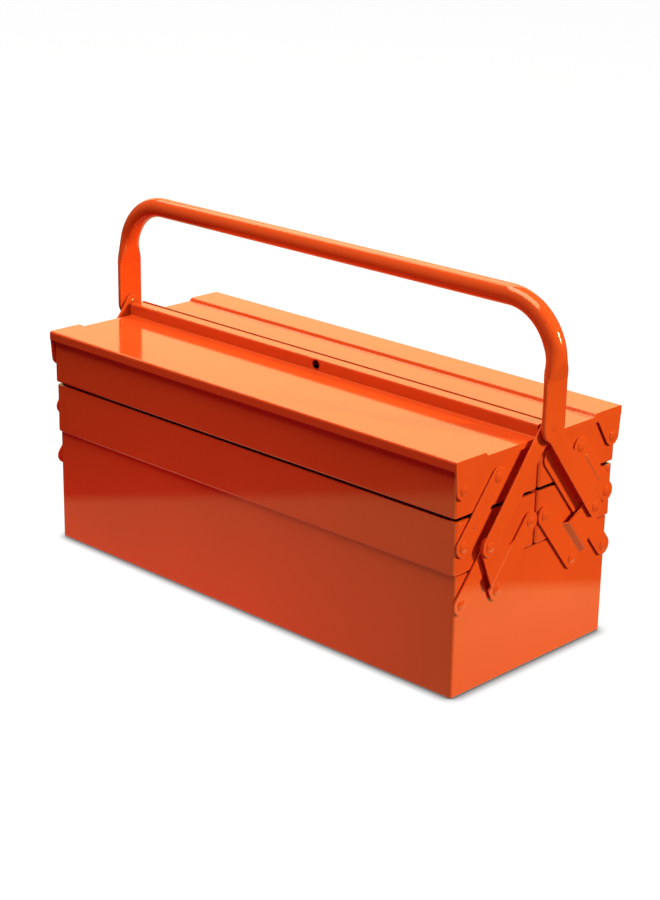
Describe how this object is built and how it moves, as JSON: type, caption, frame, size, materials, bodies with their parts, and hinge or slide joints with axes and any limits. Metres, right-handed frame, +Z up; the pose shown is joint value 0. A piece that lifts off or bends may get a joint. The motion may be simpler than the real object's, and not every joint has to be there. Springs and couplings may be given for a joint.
{
  "type": "cantilever toolbox",
  "caption": "Sheet-steel cantilever toolbox with a deep bottom box, stepped trays on parallel links, outward-opening lids and a tubular carrying handle.",
  "frame": {"origin": "on the floor under the middle of the box", "axes": "+X along the length, +Y to the rear, +Z up"},
  "size_m": [0.5376, 0.2138, 0.323],
  "materials": {
    "box_paint": "gloss",
    "lid_paint": "gloss",
    "link_paint": "gloss",
    "handle_paint": "gloss",
    "rivet_paint": "gloss"
  },
  "bodies": {
    "base": {"bottom_box": "box_paint", "bottom_box_sides": "box_paint", "bottom_box_ends": "box_paint", "base_pivot_rivets": "rivet_paint"},
    "front_arms": {"front_long_arm_left": "link_paint", "front_long_arm_right": "link_paint"},
    "front_mid": {"front_mid_tray": "box_paint", "front_mid_tray_sides": "box_paint", "front_mid_tray_ends": "box_paint", "front_mid_tray_rivets": "rivet_paint", "front_mid_corner_rivets": "rivet_paint"},
    "front_short_links": {"front_short_link_left": "link_paint", "front_short_link_right": "link_paint"},
    "front_top": {"front_top_tray": "box_paint", "front_top_tray_sides": "box_paint", "front_top_tray_ends": "box_paint", "front_top_tray_rivets": "rivet_paint", "front_lid_rivets": "rivet_paint"},
    "front_cover": {"front_lid": "lid_paint", "front_lid_ends": "lid_paint"},
    "front_cranks": {"front_crank_left": "link_paint", "front_crank_right": "link_paint", "front_crank_rivets": "rivet_paint"},
    "front_bars": {"front_handle_bar_left": "link_paint", "front_handle_bar_right": "link_paint", "front_bar_tails": "rivet_paint"},
    "rear_arms": {"rear_long_arm_left": "link_paint", "rear_long_arm_right": "link_paint"},
    "rear_mid": {"rear_mid_tray": "box_paint", "rear_mid_tray_sides": "box_paint", "rear_mid_tray_ends": "box_paint", "rear_mid_tray_rivets": "rivet_paint", "rear_mid_corner_rivets": "rivet_paint"},
    "rear_short_links": {"rear_short_link_left": "link_paint", "rear_short_link_right": "link_paint"},
    "rear_top": {"rear_top_tray": "box_paint", "rear_top_tray_sides": "box_paint", "rear_top_tray_ends": "box_paint", "rear_top_tray_rivets": "rivet_paint", "rear_lid_rivets": "rivet_paint"},
    "rear_cover": {"rear_lid": "lid_paint", "rear_lid_ends": "lid_paint"},
    "rear_cranks": {"rear_crank_left": "link_paint", "rear_crank_right": "link_paint", "rear_crank_rivets": "rivet_paint"},
    "rear_bars": {"rear_handle_bar_left": "link_paint", "rear_handle_bar_right": "link_paint"},
    "handle": {"handle_tube": "handle_paint", "handle_pivot_rivets": "rivet_paint"}
  },
  "joints": [
    {"name": "front_arm_swing", "type": "hinge", "parent": "base", "child": "front_arms", "pos_m": [0, -0.0934, 0.0822], "axis": [1, 0, 0], "range_deg": [0, 77]},
    {"name": "front_mid_level", "type": "hinge", "parent": "front_arms", "child": "front_mid", "pos_m": [0, -0.05345, 0.1316], "axis": [1, 0, 0], "range_deg": [-77, 0]},
    {"name": "front_short_swing", "type": "hinge", "parent": "front_mid", "child": "front_short_links", "pos_m": [0, -0.0934, 0.1316], "axis": [1, 0, 0], "range_deg": [0, 77]},
    {"name": "front_top_level", "type": "hinge", "parent": "front_arms", "child": "front_top", "pos_m": [0, -0.0135, 0.181], "axis": [1, 0, 0], "range_deg": [-77, 0]},
    {"name": "front_lid_swing", "type": "hinge", "parent": "front_top", "child": "front_cover", "pos_m": [0, -0.0965, 0.1812], "axis": [1, 0, 0], "range_deg": [0, 110]},
    {"name": "front_crank_swing", "type": "hinge", "parent": "base", "child": "front_cranks", "pos_m": [0, -0.04945, 0.0822], "axis": [1, 0, 0], "range_deg": [0, 77]},
    {"name": "front_bar_fold", "type": "hinge", "parent": "front_cranks", "child": "front_bars", "pos_m": [0, -0.06805, 0.1267], "axis": [1, 0, 0], "range_deg": [-101, 0]},
    {"name": "rear_arm_swing", "type": "hinge", "parent": "base", "child": "rear_arms", "pos_m": [0, 0.0934, 0.0822], "axis": [-1, 0, 0], "range_deg": [0, 77]},
    {"name": "rear_mid_level", "type": "hinge", "parent": "rear_arms", "child": "rear_mid", "pos_m": [0, 0.05345, 0.1316], "axis": [-1, 0, 0], "range_deg": [-77, 0]},
    {"name": "rear_short_swing", "type": "hinge", "parent": "rear_mid", "child": "rear_short_links", "pos_m": [0, 0.0934, 0.1316], "axis": [-1, 0, 0], "range_deg": [0, 77]},
    {"name": "rear_top_level", "type": "hinge", "parent": "rear_arms", "child": "rear_top", "pos_m": [0, 0.0135, 0.181], "axis": [-1, 0, 0], "range_deg": [-77, 0]},
    {"name": "rear_lid_swing", "type": "hinge", "parent": "rear_top", "child": "rear_cover", "pos_m": [0, 0.0965, 0.1812], "axis": [-1, 0, 0], "range_deg": [0, 110]},
    {"name": "rear_crank_swing", "type": "hinge", "parent": "base", "child": "rear_cranks", "pos_m": [0, 0.04945, 0.0822], "axis": [-1, 0, 0], "range_deg": [0, 77]},
    {"name": "rear_bar_fold", "type": "hinge", "parent": "rear_cranks", "child": "rear_bars", "pos_m": [0, 0.06805, 0.1267], "axis": [-1, 0, 0], "range_deg": [-101, 0]},
    {"name": "handle_level", "type": "hinge", "parent": "rear_bars", "child": "handle", "pos_m": [0, 0, 0.2138], "axis": [-1, 0, 0], "range_deg": [0, 24]}
  ],
  "couplings": [
    {"joint": "front_mid_level", "follows": "front_arm_swing", "ratio": -1},
    {"joint": "front_short_swing", "follows": "front_arm_swing", "ratio": 1},
    {"joint": "front_top_level", "follows": "front_arm_swing", "ratio": -1},
    {"joint": "front_crank_swing", "follows": "front_arm_swing", "ratio": 1},
    {"joint": "front_bar_fold", "follows": "front_arm_swing", "ratio": -1.3032},
    {"joint": "rear_arm_swing", "follows": "front_arm_swing", "ratio": 1},
    {"joint": "rear_mid_level", "follows": "front_arm_swing", "ratio": -1},
    {"joint": "rear_short_swing", "follows": "front_arm_swing", "ratio": 1},
    {"joint": "rear_top_level", "follows": "front_arm_swing", "ratio": -1},
    {"joint": "rear_crank_swing", "follows": "front_arm_swing", "ratio": 1},
    {"joint": "rear_bar_fold", "follows": "front_arm_swing", "ratio": -1.3032},
    {"joint": "handle_level", "follows": "front_arm_swing", "ratio": 0.30318}
  ]
}
